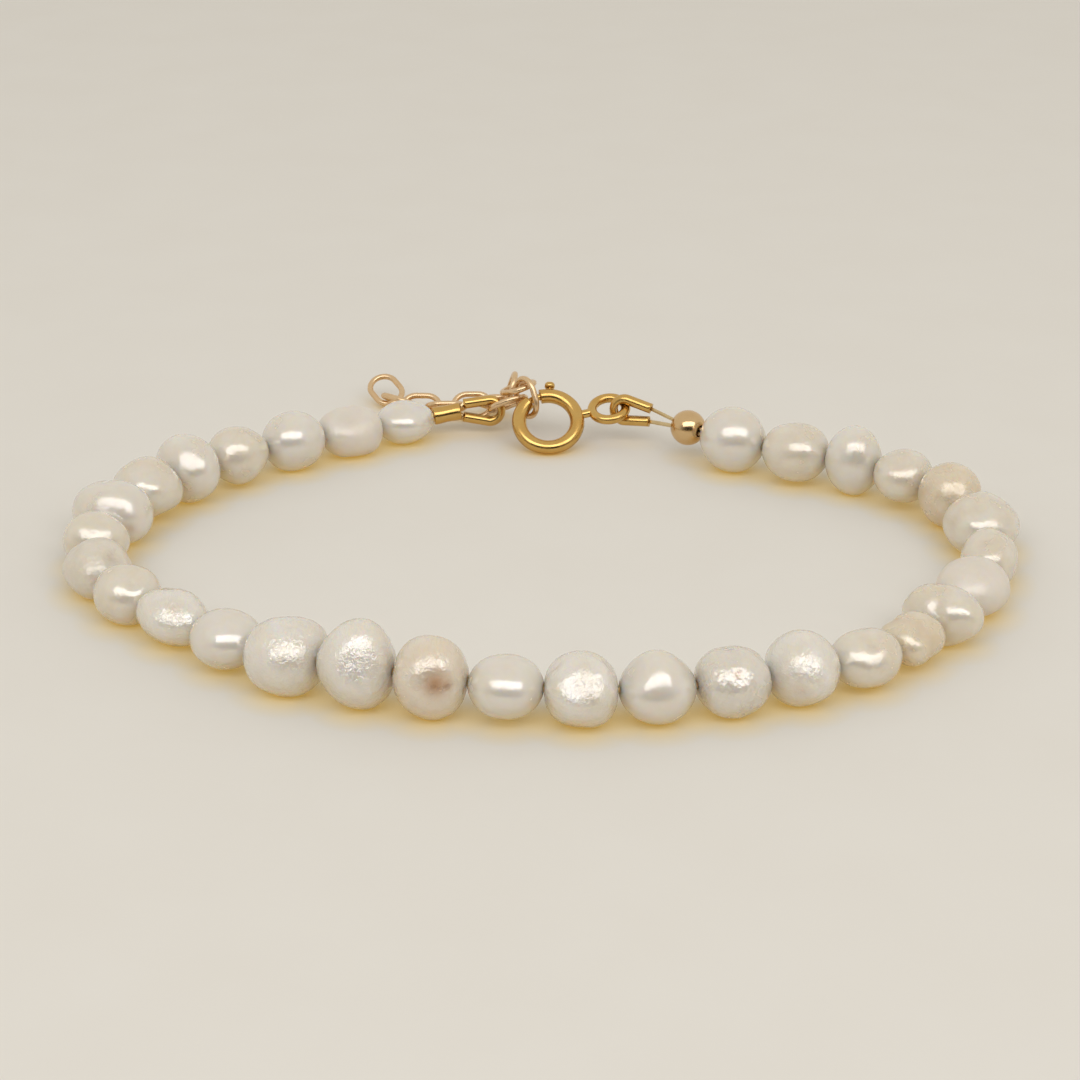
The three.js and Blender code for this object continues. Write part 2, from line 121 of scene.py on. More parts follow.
def corners_of(name):
    """A frame node's different corners in metres."""
    mesh = nodes[name].data
    flat = np.empty(len(mesh.vertices) * 3)
    mesh.vertices.foreach_get("co", flat)
    return np.unique(flat.reshape(-1, 3).round(8), axis=0)


def unit(vector):
    """The vector at length one."""
    return np.asarray(vector, float) / np.linalg.norm(vector)


# %% [markdown]
# ## Camera
#
# The photograph looks 25 degrees down at the bracelet from its front, from near enough that the
# front pearls look a fifth larger than the back ones. A lens of 23 degrees at about 20 cm from
# the middle gives that same ratio.

# %% Camera
CAMERA_TARGET = Vector((-0.285 * MM, 1.083 * MM, 0.0))
CAMERA_DISTANCE = 205 * MM
CAMERA_RISE = math.radians(25)
CAMERA_LENS = math.radians(22.99)
camera_data = bpy.data.cameras.new("camera")
camera_data.sensor_fit = "HORIZONTAL"
camera_data.angle = CAMERA_LENS
camera_data.clip_start = 10 * MM
camera = bpy.data.objects.new("camera", camera_data)
scene.collection.objects.link(camera)
back_off = Vector((0, -math.cos(CAMERA_RISE), math.sin(CAMERA_RISE)))
camera.location = CAMERA_TARGET + CAMERA_DISTANCE * back_off
camera.rotation_euler = (math.pi / 2 - CAMERA_RISE, 0, 0)
scene.camera = camera

# %% [markdown]
# ## Nacre
#
# Nacre is thousands of thin clear platelets over a core. Light enters, spreads warmly under the
# skin and comes out again, and the stack of platelets mirrors more light than a single surface
# would. So the material is a pale body with light spreading far inside it, a share of metal for
# the stack's silvery mirror, and a thin clear coat. The pearls differ, so one function makes each
# tint: its body colour, its cloudy patches, how rough its skin is, how high its finest wrinkles
# stand and whether it is crackled. A brown stain is mixed in where a dent's attribute asks for it.

# %% Nacre material
NACRE_TINTS = {
    # The colours of the body and its clouds, the skin's roughness and coat, the finest wrinkles'
    # height, size in millimetres and how far they are drawn out, and how high the crackle is.
    "white": dict(body="#e0dcd5", cloud="#dbd4c7", rough=0.22, coat=0.5,
                  fine=0.16, size=0.5, drawn=1.5, crackle=0.0),
    "cream": dict(body="#dfd9cd", cloud="#d7cdbb", rough=0.23, coat=0.5,
                  fine=0.34, size=0.42, drawn=1.6, crackle=0.0),
    "ivory": dict(body="#dfd4c2", cloud="#d5c6ac", rough=0.25, coat=0.4,
                  fine=0.40, size=0.4, drawn=1.8, crackle=0.0),
    "brushed": dict(body="#e5e1da", cloud="#ddd6c9", rough=0.15, coat=0.5,
                    fine=0.72, size=0.30, drawn=2.4, crackle=0.0),
    "peach": dict(body="#e1d9cc", cloud="#ddcfbb", rough=0.22, coat=0.5,
                  fine=0.80, size=0.36, drawn=2.0, crackle=0.0),
    "crackled": dict(body="#dfdad1", cloud="#d5cfc3", rough=0.24, coat=0.4,
                     fine=0.35, size=0.22, drawn=1.0, crackle=0.34),
    "worn": dict(body="#dfd9ce", cloud="#d6cfc1", rough=0.34, coat=0.1,
                 fine=0.7, size=0.26, drawn=1.0, crackle=0.30),
    "matte": dict(body="#e1dad1", cloud="#dcd5c9", rough=0.45, coat=0.0,
                  fine=0.40, size=0.35, drawn=1.2, crackle=0.0),
}
BROWN_DENT = "#b58a5c"
PLATELETS = 0.28  # the share of light that the stack of platelets mirrors
NACRE_IOR = 1.66
PATCH_SIZE = 2.2 * MM
CRACKLE_SIZE = 0.32 * MM
RELIEF_DEPTH = 0.10 * MM
LIGHT_REACH = 3.0 * MM  # how far light spreads under the skin


def nacre_material(name, body, cloud, rough, coat, fine, size, drawn, crackle):
    """One tint of nacre, from a row of the table above."""
    material = bpy.data.materials.new(name)
    material.use_nodes = True
    tree = material.node_tree
    tree.nodes.clear()
    place = add_node(tree, "ShaderNodeTexCoord").outputs["Object"]
    patches = add_node(tree, "ShaderNodeTexNoise", {
        "Vector": place, "Scale": 1 / PATCH_SIZE, "Detail": 3.0, "Roughness": 0.55})
    spread = add_node(tree, "ShaderNodeMapRange", {
        "Value": patches.outputs["Fac"], "From Min": 0.35, "From Max": 0.7})
    cloudy = add_node(tree, "ShaderNodeMix", {
        "Factor": spread.outputs["Result"], 6: linear(body), 7: linear(cloud)}, data_type="RGBA")
    dent = add_node(tree, "ShaderNodeAttribute", attribute_name="stain")
    stained = add_node(tree, "ShaderNodeMix", {
        "Factor": dent.outputs["Fac"], 6: cloudy.outputs[2], 7: linear(BROWN_DENT)},
        data_type="RGBA")
    leaned = add_node(tree, "ShaderNodeMapping", {
        "Vector": place, "Rotation": (0.5, 0.4, 0.9), "Scale": (drawn, 1.0, drawn)})
    wrinkles = add_node(tree, "ShaderNodeTexNoise", {
        "Vector": leaned.outputs[0], "Scale": 1 / (size * 2 * MM), "Detail": 3.0,
        "Roughness": 0.55, "Distortion": 0.8})
    cells = add_node(tree, "ShaderNodeTexVoronoi", {
        "Vector": place, "Scale": 1 / CRACKLE_SIZE}, feature="F1")
    pits = add_math(tree, "MULTIPLY", cells.outputs["Distance"], crackle)
    ridges = add_math(tree, "MULTIPLY", wrinkles.outputs["Fac"], fine)
    relief = add_math(tree, "ADD", pits, ridges)
    bump = add_node(tree, "ShaderNodeBump", {
        "Strength": 1.0, "Distance": RELIEF_DEPTH, "Height": relief})
    worn = add_node(tree, "ShaderNodeMapRange", {
        "Value": patches.outputs["Fac"], "From Min": 0.3, "From Max": 0.75,
        "To Min": rough - 0.04, "To Max": rough + 0.08})
    skin = add_node(tree, "ShaderNodeBsdfPrincipled", {
        "Base Color": stained.outputs[2], "Roughness": worn.outputs["Result"], "IOR": NACRE_IOR,
        "Metallic": PLATELETS, "Subsurface Weight": 1.0,
        "Subsurface Radius": (1.0, 0.74, 0.40), "Subsurface Scale": LIGHT_REACH,
        "Coat Weight": coat, "Coat Roughness": 0.10, "Normal": bump.outputs["Normal"]})
    add_node(tree, "ShaderNodeOutputMaterial", {"Surface": skin.outputs["BSDF"]})
    return material


nacre = {
    tint: nacre_material(f"nacre_{tint}", **look) for tint, look in NACRE_TINTS.items()
}
print("nacre tints:", ", ".join(nacre))

# %% [markdown]
# ## The pearls' own shapes
#
# The frame's pearls are rough drilled solids, and a fine pearl is grown over each. Each row below
# gives a pearl its tint and the heights in millimetres of its slow waves, its wrinkles and its
# dimples.

# %% Pearl rows
PEARL_LOOKS = {
    # name: (tint, wave, wrinkle, wrinkle size, dimple, dimple size)
    "pearl_01": ("white", 0.04, 0.010, 0.9, 0.00, 1.2),
    "pearl_02": ("matte", 0.10, 0.012, 0.8, 0.00, 1.2),
    "pearl_03": ("white", 0.04, 0.010, 0.9, 0.00, 1.2),
    "pearl_04": ("cream", 0.14, 0.012, 0.9, 0.00, 1.2),
    "pearl_05": ("white", 0.10, 0.014, 0.9, 0.02, 1.6),
    "pearl_06": ("cream", 0.18, 0.016, 0.8, 0.08, 1.8),
    "pearl_07": ("white", 0.12, 0.014, 0.9, 0.03, 1.8),
    "pearl_08": ("cream", 0.14, 0.014, 0.8, 0.02, 1.4),
    "pearl_09": ("worn", 0.20, 0.050, 0.6, 0.06, 1.5),
    "pearl_10": ("cream", 0.10, 0.014, 0.9, 0.02, 1.4),
    "pearl_11": ("brushed", 0.16, 0.045, 0.7, 0.04, 1.2),
    "pearl_12": ("white", 0.03, 0.010, 1.0, 0.00, 1.2),
    "pearl_13": ("brushed", 0.14, 0.060, 0.6, 0.04, 1.3),
    "pearl_14": ("brushed", 0.08, 0.070, 0.5, 0.02, 1.1),
    "pearl_15": ("peach", 0.12, 0.035, 0.7, 0.04, 1.4),
    "pearl_16": ("white", 0.03, 0.010, 1.0, 0.00, 1.2),
    "pearl_17": ("brushed", 0.10, 0.060, 0.6, 0.03, 1.1),
    "pearl_18": ("white", 0.05, 0.012, 0.9, 0.00, 1.2),
    "pearl_19": ("crackled", 0.14, 0.035, 0.5, 0.06, 0.9),
    "pearl_20": ("brushed", 0.08, 0.060, 0.6, 0.02, 1.2),
    "pearl_21": ("cream", 0.16, 0.014, 0.8, 0.04, 1.8),
    "pearl_22": ("ivory", 0.16, 0.012, 0.8, 0.02, 1.6),
    "pearl_23": ("cream", 0.18, 0.014, 0.8, 0.04, 1.8),
    "pearl_24": ("matte", 0.08, 0.014, 0.8, 0.00, 1.4),
    "pearl_25": ("cream", 0.16, 0.012, 0.8, 0.05, 1.7),
    "pearl_26": ("cream", 0.20, 0.014, 0.8, 0.05, 1.9),
    "pearl_27": ("ivory", 0.10, 0.012, 0.9, 0.00, 1.2),
    "pearl_28": ("cream", 0.12, 0.012, 0.9, 0.02, 1.5),
    "pearl_29": ("white", 0.12, 0.012, 0.9, 0.02, 1.5),
    "pearl_30": ("cream", 0.10, 0.014, 0.8, 0.02, 1.4),
    "pearl_31": ("white", 0.03, 0.010, 0.9, 0.00, 1.2),
}

# Dents: the pearl, the direction the dent faces (right, away, up), its radius and depth in
# millimetres, and how brown it is. A small dent is a hollow, and one wider than a millimetre
# flattens a face of the pearl or draws its outline in.
DENTS = [
    ("pearl_15", (0.15, -0.93, 0.28), 1.0, 0.16, 0.90),
    ("pearl_15", (0.42, -0.85, 0.22), 0.6, 0.14, 0.70),
    ("pearl_09", (0.55, -0.55, 0.6), 0.8, 0.22, 0.15),
    ("pearl_07", (0.45, -0.7, -0.1), 0.6, 0.10, 0.35),
    ("pearl_06", (0.3, -0.6, 0.7), 0.7, 0.16, 0.0),
    ("pearl_17", (-0.2, -0.8, 0.5), 0.9, 0.10, 0.0),
    ("pearl_19", (0.1, -0.8, 0.6), 0.5, 0.14, 0.2),
    ("pearl_21", (0.1, -0.6, 0.8), 0.5, 0.14, 0.0),
    ("pearl_23", (-0.3, -0.6, 0.5), 0.8, 0.14, 0.0),
    ("pearl_26", (-0.2, -0.5, 0.7), 0.7, 0.16, 0.0),
    ("pearl_25", (-0.3, -0.5, 0.8), 0.6, 0.14, 0.0),
    ("pearl_18", (-0.85, -0.2, 0.75), 1.7, 0.24, 0.0),
    ("pearl_18", (0.85, -0.2, 0.75), 1.7, 0.24, 0.0),
    ("pearl_17", (-0.8, 0.0, 0.8), 1.1, 0.22, 0.0),
    ("pearl_17", (0.8, 0.0, 0.8), 1.1, 0.22, 0.0),
    ("pearl_22", (0.15, -0.6, 0.5), 0.7, 0.26, 0.0),
    ("pearl_20", (-0.1, -0.9, -0.1), 0.7, 0.14, 0.12),
    ("pearl_10", (0.3, -0.6, 0.6), 0.6, 0.12, 0.0),
    ("pearl_02", (0.0, -0.5, 0.85), 1.3, 0.25, 0.0),
    ("pearl_14", (0.0, -0.82, 0.52), 2.3, 0.40, 0.0),
    ("pearl_13", (0.1, -0.82, 0.50), 1.7, 0.24, 0.0),
    ("pearl_17", (0.0, -0.82, 0.55), 1.6, 0.22, 0.0),
    ("pearl_20", (0.1, -0.82, 0.50), 1.6, 0.22, 0.0),
    ("pearl_11", (0.1, -0.80, 0.55), 1.1, 0.12, 0.0),
    ("pearl_05", (0.2, -0.75, 0.55), 1.1, 0.12, 0.0),
    ("pearl_07", (-0.1, -0.80, 0.50), 1.2, 0.14, 0.0),
]

# %% [markdown]
# ## Reading a rough pearl
#
# Rays from outside read how far the solid stands out in many directions, and a smooth sum of low
# waves is fitted to those distances. That takes the facets away and keeps the form.

# %% Reading a rough pearl
RAY_START = 8 * MM  # rays start this far from a pearl's middle, outside every pearl
HOLE_CORNERS = 14  # corners on the rim of a frame pearl's drill hole
END_REACH = 0.05 * MM  # how far a fine pearl's ends stand out past the frame pearl's rims


def even_directions(count):
    """Directions spread evenly over a ball."""
    index = np.arange(count) + 0.5
    up = 1 - 2 * index / count
    turn = np.pi * (1 + 5 ** 0.5) * index
    flat = np.sqrt(1 - up * up)
    return np.stack([flat * np.cos(turn), flat * np.sin(turn), up], 1)


def waves_over_ball(directions, degree=5):
    """The low waves: every product of the three components up to a degree."""
    x, y, z = directions.T
    return np.stack([
        x ** i * y ** j * z ** k
        for i in range(degree + 1)
        for j in range(degree + 1 - i)
        for k in range(degree + 1 - i - j)
    ], 1)


def ends_of_drill(corners, tree):
    """The middles of the two rims of the drill hole."""
    middle = (corners.min(0) + corners.max(0)) / 2
    through = []
    for direction in even_directions(2500):
        hit = tree.ray_cast(Vector(middle + direction * RAY_START), Vector(-direction))
        if hit[0] is None or hit[3] > RAY_START - 0.9 * MM:
            through.append(direction)
    through = np.array(through)
    axis = np.linalg.eigh(through.T @ through)[1][:, -1]
    along = (corners - middle) @ axis
    order = np.argsort(along)
    return corners[order[:HOLE_CORNERS]].mean(0), corners[order[-HOLE_CORNERS:]].mean(0)


def read_pearl(name):
    """The drill's two ends and a smooth reach from their middle in any direction."""
    obj = nodes[name]
    graph = bpy.context.evaluated_depsgraph_get()
    tree = BVHTree.FromObject(obj, graph)
    start, end = ends_of_drill(corners_of(name), tree)
    centre = (start + end) / 2
    axis = unit(end - start)
    start, end = start - axis * END_REACH, end + axis * END_REACH
    found, reach = [], []
    for direction in even_directions(1500):
        hit = tree.ray_cast(Vector(centre + direction * RAY_START), Vector(-direction))
        clear_of_hole = abs(direction @ axis) < 0.95
        if hit[0] is not None and clear_of_hole:
            found.append(direction)
            reach.append(RAY_START - hit[3])
    for sign in (-1, 1):
        found += [sign * axis] * 12
        reach += [np.linalg.norm(end - start) / 2] * 12
    fit = np.linalg.lstsq(waves_over_ball(np.array(found)), np.array(reach), rcond=None)[0]
    return start, end, fit


# %% [markdown]
# ## Laying out the fine skin
#
# The fine skin is laid out in rings from one drill hole to the other, so that the holes stay
# round and clean. The first and last few rings go down into the hole, which gives it a real wall
# and a rounded rim. The skin value is nearly 0 at the rim and 1 away from it, and later holds
# the growth back there, so that the rim stays round.

# %% Fine pearl mesh
HOLE_RADIUS = 0.25 * MM
HOLE_RIM = 0.38 * MM
HOLE_DEPTH = 1.3 * MM
AROUND = 96
OUTER_RINGS = 62
END_SPREAD = 0.55  # how far from the axis, in radians, the ends are stretched to their rims
# The rings inside a hole: the share of its radius, and how deep below the rim.
MOUTH = [(1.0, HOLE_DEPTH), (1.0, 0.16 * MM), (1.04, 0.08 * MM), (1.16, 0.02 * MM)]


def pearl_rings(start, end, fit, dents):
    """Rings of points from inside one hole, over the pearl, into the other hole."""
    centre = (start + end) / 2
    axis = unit(end - start)
    side = unit(np.cross((0, 0, 1), axis))
    above = np.cross(axis, side)
    turns = np.arange(AROUND) * 2 * np.pi / AROUND
    spoke = np.outer(np.cos(turns), side) + np.outer(np.sin(turns), above)
    half = np.linalg.norm(end - start) / 2
    rim_angle = math.asin(HOLE_RIM / half)

    def stretch(sign):
        """How much longer the reach at one end has to be for its rim to lie at the drill's end."""
        directions = sign * math.cos(rim_angle) * axis + math.sin(rim_angle) * spoke
        along = (waves_over_ball(directions) @ fit).mean() * math.cos(rim_angle)
        return half / along - 1

    first_stretch, last_stretch = stretch(1), stretch(-1)

    def outer(angle):
        directions = math.cos(angle) * axis + math.sin(angle) * spoke
        near_first = first_stretch * math.exp(-(angle / END_SPREAD) ** 2)
        near_last = last_stretch * math.exp(-((math.pi - angle) / END_SPREAD) ** 2)
        reach = (waves_over_ball(directions) @ fit) * (1 + near_first + near_last)
        stain = np.zeros(AROUND)
        for facing, radius, depth, brown in dents:
            apart = np.linalg.norm(directions - unit(facing), axis=1) * reach / (radius * MM)
            hollow = np.exp(-apart ** 2 * 1.5)
            reach = reach - depth * MM * hollow
            stain = np.maximum(stain, brown * hollow)
        return centre + directions * reach[:, None], stain

    def ring(radius, station):
        return centre + axis * station + spoke * radius

    rings, stains, skins = [], [], []
    for sign in (1, -1):
        first = 0.0 if sign == 1 else math.pi
        edge, _ = outer(first + sign * rim_angle)
        shelf = ((edge - centre) @ axis).mean()
        mouth = [ring(HOLE_RADIUS * share, shelf - sign * depth) for share, depth in MOUTH]
        if sign == 1:
            rings += mouth
            for k in range(OUTER_RINGS + 1):
                angle = rim_angle + (math.pi - 2 * rim_angle) * k / OUTER_RINGS
                points, stain = outer(angle)
                rings.append(points)
                stains.append(stain)
                skins.append(min(1.0, 0.15 + min(k, OUTER_RINGS - k) / 8))
        else:
            rings += mouth[::-1]
    blank = [np.zeros(AROUND)] * len(MOUTH)
    stains = blank + stains + blank
    skins = [0.0] * len(MOUTH) + skins + [0.0] * len(MOUTH)
    return np.array(rings), np.array(stains), np.repeat(skins, AROUND)


def ring_faces(count, around):
    """The faces between a count of rings with as many points around each."""
    faces = []
    for r in range(count - 1):
        for s in range(around):
            t = (s + 1) % around
            faces.append((r * around + s, (r + 1) * around + s,
                          (r + 1) * around + t, r * around + t))
    return faces


# %% [markdown]
# ## Growing the skin
#
# A Geometry Nodes tree moves every point along its normal by slow waves, by wrinkles and by
# dimples. The heights and sizes are inputs, so one tree serves all the pearls, and each has its
# own fixed seed.

# %% The growth tree


def finish_tree(tree, geometry, material):
    """The last nodes of a tree: its geometry becomes real, gets its material and goes out."""
    real = add_node(tree, "GeometryNodeRealizeInstances", {"Geometry": geometry})
    dressed = add_node(tree, "GeometryNodeSetMaterial", {
        "Geometry": real.outputs[0], "Material": material})
    add_node(tree, "NodeGroupOutput", {0: dressed.outputs[0]})


def growth_tree():
    """The tree that grows a pearl's skin out along its normals."""
    tree = bpy.data.node_groups.new("nacre growth", "GeometryNodeTree")
    face = tree.interface
    face.new_socket(name="Geometry", in_out="INPUT", socket_type="NodeSocketGeometry")
    for label in ("Wave height mm", "Wave size mm", "Wrinkle height mm", "Wrinkle size mm",
                  "Dimple height mm", "Dimple size mm", "Seed"):
        face.new_socket(name=label, in_out="INPUT", socket_type="NodeSocketFloat")
    face.new_socket(name="Material", in_out="INPUT", socket_type="NodeSocketMaterial")
    face.new_socket(name="Geometry", in_out="OUTPUT", socket_type="NodeSocketGeometry")
    given = add_node(tree, "NodeGroupInput").outputs
    position = add_node(tree, "GeometryNodeInputPosition").outputs[0]
    in_mm = add_node(tree, "ShaderNodeVectorMath", {0: position, "Scale": 1 / MM},
                     operation="SCALE").outputs["Vector"]

    def swell(size, height, detail, distortion):
        scale = add_math(tree, "DIVIDE", 1.0, given[size])
        noise = add_node(tree, "ShaderNodeTexNoise", {
            "Vector": in_mm, "W": given["Seed"], "Scale": scale, "Detail": detail,
            "Distortion": distortion}, noise_dimensions="4D")
        centred = add_math(tree, "SUBTRACT", noise.outputs[0], 0.5)
        return add_math(tree, "MULTIPLY", centred, given[height])

    waves = swell("Wave size mm", "Wave height mm", 1.0, 0.0)
    wrinkles = swell("Wrinkle size mm", "Wrinkle height mm", 3.0, 1.2)
    cell_scale = add_math(tree, "DIVIDE", 1.0, given["Dimple size mm"])
    cells = add_node(tree, "ShaderNodeTexVoronoi", {
        "Vector": in_mm, "W": given["Seed"], "Scale": cell_scale, "Smoothness": 0.6,
        "Randomness": 1.0}, voronoi_dimensions="4D", feature="SMOOTH_F1")
    pits = add_math(tree, "MULTIPLY", cells.outputs["Distance"], given["Dimple height mm"])
    total = add_math(tree, "ADD", waves, wrinkles)
    total = add_math(tree, "ADD", total, pits)
    skin = add_node(tree, "GeometryNodeInputNamedAttribute", {"Name": "skin"}, data_type="FLOAT")
    held = add_math(tree, "MULTIPLY", total, skin.outputs[0])
    # The heights run from lowest to highest, and noise swings half of that, so it counts double.
    metres = add_math(tree, "MULTIPLY", held, 2 * MM)
    normal = add_node(tree, "GeometryNodeInputNormal").outputs[0]
    push = add_node(tree, "ShaderNodeVectorMath", {0: normal, "Scale": metres},
                    operation="SCALE").outputs["Vector"]
    moved = add_node(tree, "GeometryNodeSetPosition", {
        "Geometry": given["Geometry"], "Offset": push})
    finish_tree(tree, moved.outputs[0], given["Material"])
    return tree


def use_tree(obj, tree, values):
    """The tree as a modifier, with its inputs set by their names."""
    modifier = obj.modifiers.new(tree.name, "NODES")
    modifier.node_group = tree
    for item in tree.interface.items_tree:
        if item.in_out == "INPUT" and item.name in values:
            modifier[item.identifier] = values[item.name]


# %% [markdown]
# ## All the pearls
#
# Every pearl is read, laid out and grown, and then stands for its node of the frame. None may
# sink into the table.

# %% All the pearls
WAVE_SIZE_MM = 2.4
SEED_STEP = 3.7
TABLE_GAP = 0.02 * MM  # no pearl goes lower than this over the table
growth = growth_tree()
pearls = {}
for number, name in enumerate(pearl_names):
    tint, wave, wrinkle, wrinkle_size, dimple, dimple_size = PEARL_LOOKS[name]
    start, end, fit = read_pearl(name)
    own_dents = [row[1:] for row in DENTS if row[0] == name]
    rings, stains, skins = pearl_rings(start, end, fit, own_dents)
    pearl = mesh_object(f"fine_{name}", rings.reshape(-1, 3), ring_faces(len(rings), AROUND))
    skin = pearl.data.attributes.new("skin", "FLOAT", "POINT")
    skin.data.foreach_set("value", skins)
    stain = pearl.data.attributes.new("stain", "FLOAT", "POINT")
    stain.data.foreach_set("value", stains.ravel())
    use_tree(pearl, growth, {
        "Wave height mm": wave, "Wave size mm": WAVE_SIZE_MM,
        "Wrinkle height mm": wrinkle, "Wrinkle size mm": wrinkle_size,
        "Dimple height mm": dimple, "Dimple size mm": dimple_size,
        "Seed": SEED_STEP * number, "Material": nacre[tint]})
    bake_modifiers(pearl)
    for vertex in pearl.data.vertices:
        vertex.co.z = max(vertex.co.z, TABLE_GAP)
    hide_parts(name)
    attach(pearl, "bracelet")
    pearls[name] = pearl
print("fine pearls:", len(pearls), "triangles:",
      2 * sum(len(p.data.polygons) for p in pearls.values()))

# %% [markdown]
# ## Gold
#
# The findings are brass with a polished gold plate. It is a metal, so its colour is the colour
# of its reflections. Handling leaves it a little uneven: the roughness wanders slowly, and very
# fine marks break up the highlights.

# %% Gold material


def gold_material(name, colour, shade, rough):
    """Polished gold plate whose colour wanders between two hexes."""
    material = bpy.data.materials.new(name)
    material.use_nodes = True
    tree = material.node_tree
    tree.nodes.clear()
    place = add_node(tree, "ShaderNodeTexCoord").outputs["Object"]
    patches = add_node(tree, "ShaderNodeTexNoise", {
        "Vector": place, "Scale": 1 / (1.1 * MM), "Detail": 4.0})
    toned = add_node(tree, "ShaderNodeMix", {
        "Factor": patches.outputs["Fac"], 6: linear(colour), 7: linear(shade)},
        data_type="RGBA")
    worn = add_node(tree, "ShaderNodeMapRange", {
        "Value": patches.outputs["Fac"], "From Min": 0.3, "From Max": 0.75,
        "To Min": rough - 0.06, "To Max": rough + 0.12})
    marks = add_node(tree, "ShaderNodeTexNoise", {
        "Vector": place, "Scale": 1 / (0.12 * MM), "Detail": 3.0, "Distortion": 1.5})
    bump = add_node(tree, "ShaderNodeBump", {
        "Strength": 0.10, "Distance": 0.02 * MM, "Height": marks.outputs["Fac"]})
    metal = add_node(tree, "ShaderNodeBsdfPrincipled", {
        "Base Color": toned.outputs[2], "Metallic": 1.0, "Roughness": worn.outputs["Result"],
        "Normal": bump.outputs["Normal"]})
    add_node(tree, "ShaderNodeOutputMaterial", {"Surface": metal.outputs["BSDF"]})
    return material


gold = gold_material("gold_plate", "#dfbb74", "#cc9f54", 0.19)
ball_gold = gold_material("gold_bead", "#e3c698", "#d2ae7c", 0.17)
pale_gold = gold_material("gold_links", "#ecd0a9", "#ddba8c", 0.26)
wire_gold = gold_material("bead_wire_gold", "#e2cda0", "#cdb383", 0.30)

# %% [markdown]
# ## Drawn wire
#
# Links, the clasp's loop and its bolt are all round wire bent along a path. One Geometry Nodes
# tree draws it: the path's edges become a curve, a circle runs along it, and the result is
# shaded smooth and given its material. The wire's radius is an input.

# %% The wire tree


def wire_tree():
    """The tree that draws round wire along a mesh's edges."""
    tree = bpy.data.node_groups.new("drawn wire", "GeometryNodeTree")
    face = tree.interface
    face.new_socket(name="Geometry", in_out="INPUT", socket_type="NodeSocketGeometry")
    face.new_socket(name="Radius", in_out="INPUT", socket_type="NodeSocketFloat")
    face.new_socket(name="Sides", in_out="INPUT", socket_type="NodeSocketInt")
    face.new_socket(name="Material", in_out="INPUT", socket_type="NodeSocketMaterial")
    face.new_socket(name="Geometry", in_out="OUTPUT", socket_type="NodeSocketGeometry")
    given = add_node(tree, "NodeGroupInput").outputs
    line = add_node(tree, "GeometryNodeMeshToCurve", {"Mesh": given["Geometry"]})
    section = add_node(tree, "GeometryNodeCurvePrimitiveCircle", {
        "Resolution": given["Sides"], "Radius": given["Radius"]})
    tube = add_node(tree, "GeometryNodeCurveToMesh", {
        "Curve": line.outputs[0], "Profile Curve": section.outputs[0], "Fill Caps": True})
    smooth = add_node(tree, "GeometryNodeSetShadeSmooth", {"Geometry": tube.outputs[0]})
    finish_tree(tree, smooth.outputs[0], given["Material"])
    return tree


drawn = wire_tree()


def wire_object(name, points, radius, closed, material, sides=16):
    """Round wire along a line of points in metres."""
    count = len(points)
    edges = [(i, i + 1) for i in range(count - 1)] + ([(count - 1, 0)] if closed else [])
    mesh = bpy.data.meshes.new(name)
    mesh.from_pydata([tuple(p) for p in points], edges, [])
    obj = bpy.data.objects.new(name, mesh)
    scene.collection.objects.link(obj)
    use_tree(obj, drawn, {"Radius": radius, "Sides": sides, "Material": material})
    bake_modifiers(obj)
    return obj


def main_axes(corners):
    """The middle of a piece and its long, middle and short directions."""
    middle = corners.mean(0)
    spread = np.linalg.eigh((corners - middle).T @ (corners - middle))[1]
    return middle, spread[:, 2], spread[:, 1], spread[:, 0]


def around(centre, first, second, radius, start, stop, steps):
    """Points on an arc in the plane of two directions, from one angle to another in degrees."""
    angles = np.radians(np.linspace(start, stop, steps + 1))[:, None]
    return centre + radius * (np.cos(angles) * first + np.sin(angles) * second)


# %% [markdown]
# ## Chain links
#
# A link is an oval of wire: two half circles joined by straight sides. Its middle and its
# directions are read from the frame's own link.

# %% Chain links
LINK_LENGTH = 3.7 * MM
LINK_WIDTH = 2.8 * MM
LINK_WIRE = 0.25 * MM
for name in link_names:
    middle, first, second, _ = main_axes(corners_of(name))
    radius = LINK_WIDTH / 2 - LINK_WIRE
    straight = (LINK_LENGTH - LINK_WIDTH) / 2
    line = np.concatenate([
        around(middle + first * straight, first, second, radius, -90, 90, 16),
        around(middle - first * straight, first, second, radius, 90, 270, 16)])
    link = wire_object(f"fine_{name}", line, LINK_WIRE, True, pale_gold, 14)
    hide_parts(name)
    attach(link, "bracelet")
print("links:", len(link_names))

# %% [markdown]
# ## Open channels
#
# The two wire guards and the clasp's ring are made from rolled sheet, so they are tubes with a
# slit. A guard's slit is wide over the arch and nearly shut on the legs. The ring's slit faces
# outwards and is opened only where the knob slides. Both are one horseshoe-shaped section
# carried along a line.

# %% Channels


